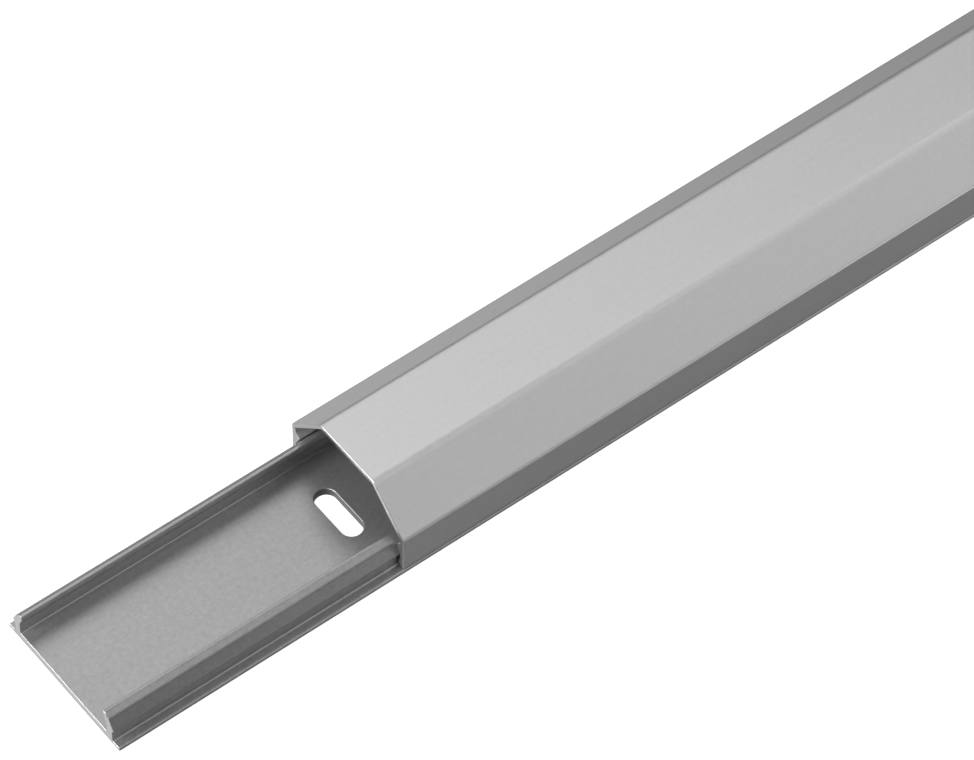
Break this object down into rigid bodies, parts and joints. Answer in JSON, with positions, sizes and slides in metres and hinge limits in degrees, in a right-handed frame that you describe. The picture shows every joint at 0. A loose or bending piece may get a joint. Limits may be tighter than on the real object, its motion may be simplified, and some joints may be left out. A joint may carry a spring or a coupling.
{
  "type": "aluminium cable duct",
  "caption": "Aluminium surface cable duct: a screw-down base rail with snap arms and a chamfered clip-on cover, set back from the rail's end.",
  "frame": {"origin": "middle of the base rail's flat underside, on the wall face", "axes": "+X along the duct, +Y across it, +Z out of the wall, up as it lies on a floor"},
  "size_m": [1.162, 0.0336, 0.018],
  "materials": {
    "rail_aluminium": "satin silver anodised",
    "cover_aluminium": "satin silver anodised"
  },
  "bodies": {
    "base": {"base_rail": "rail_aluminium"},
    "cover": {"cover": "cover_aluminium"}
  },
  "joints": [
    {"name": "cover_slide", "type": "slide", "parent": "base", "child": "cover", "axis": [1, 0, 0], "range_m": [-0.062, 1.04]}
  ]
}
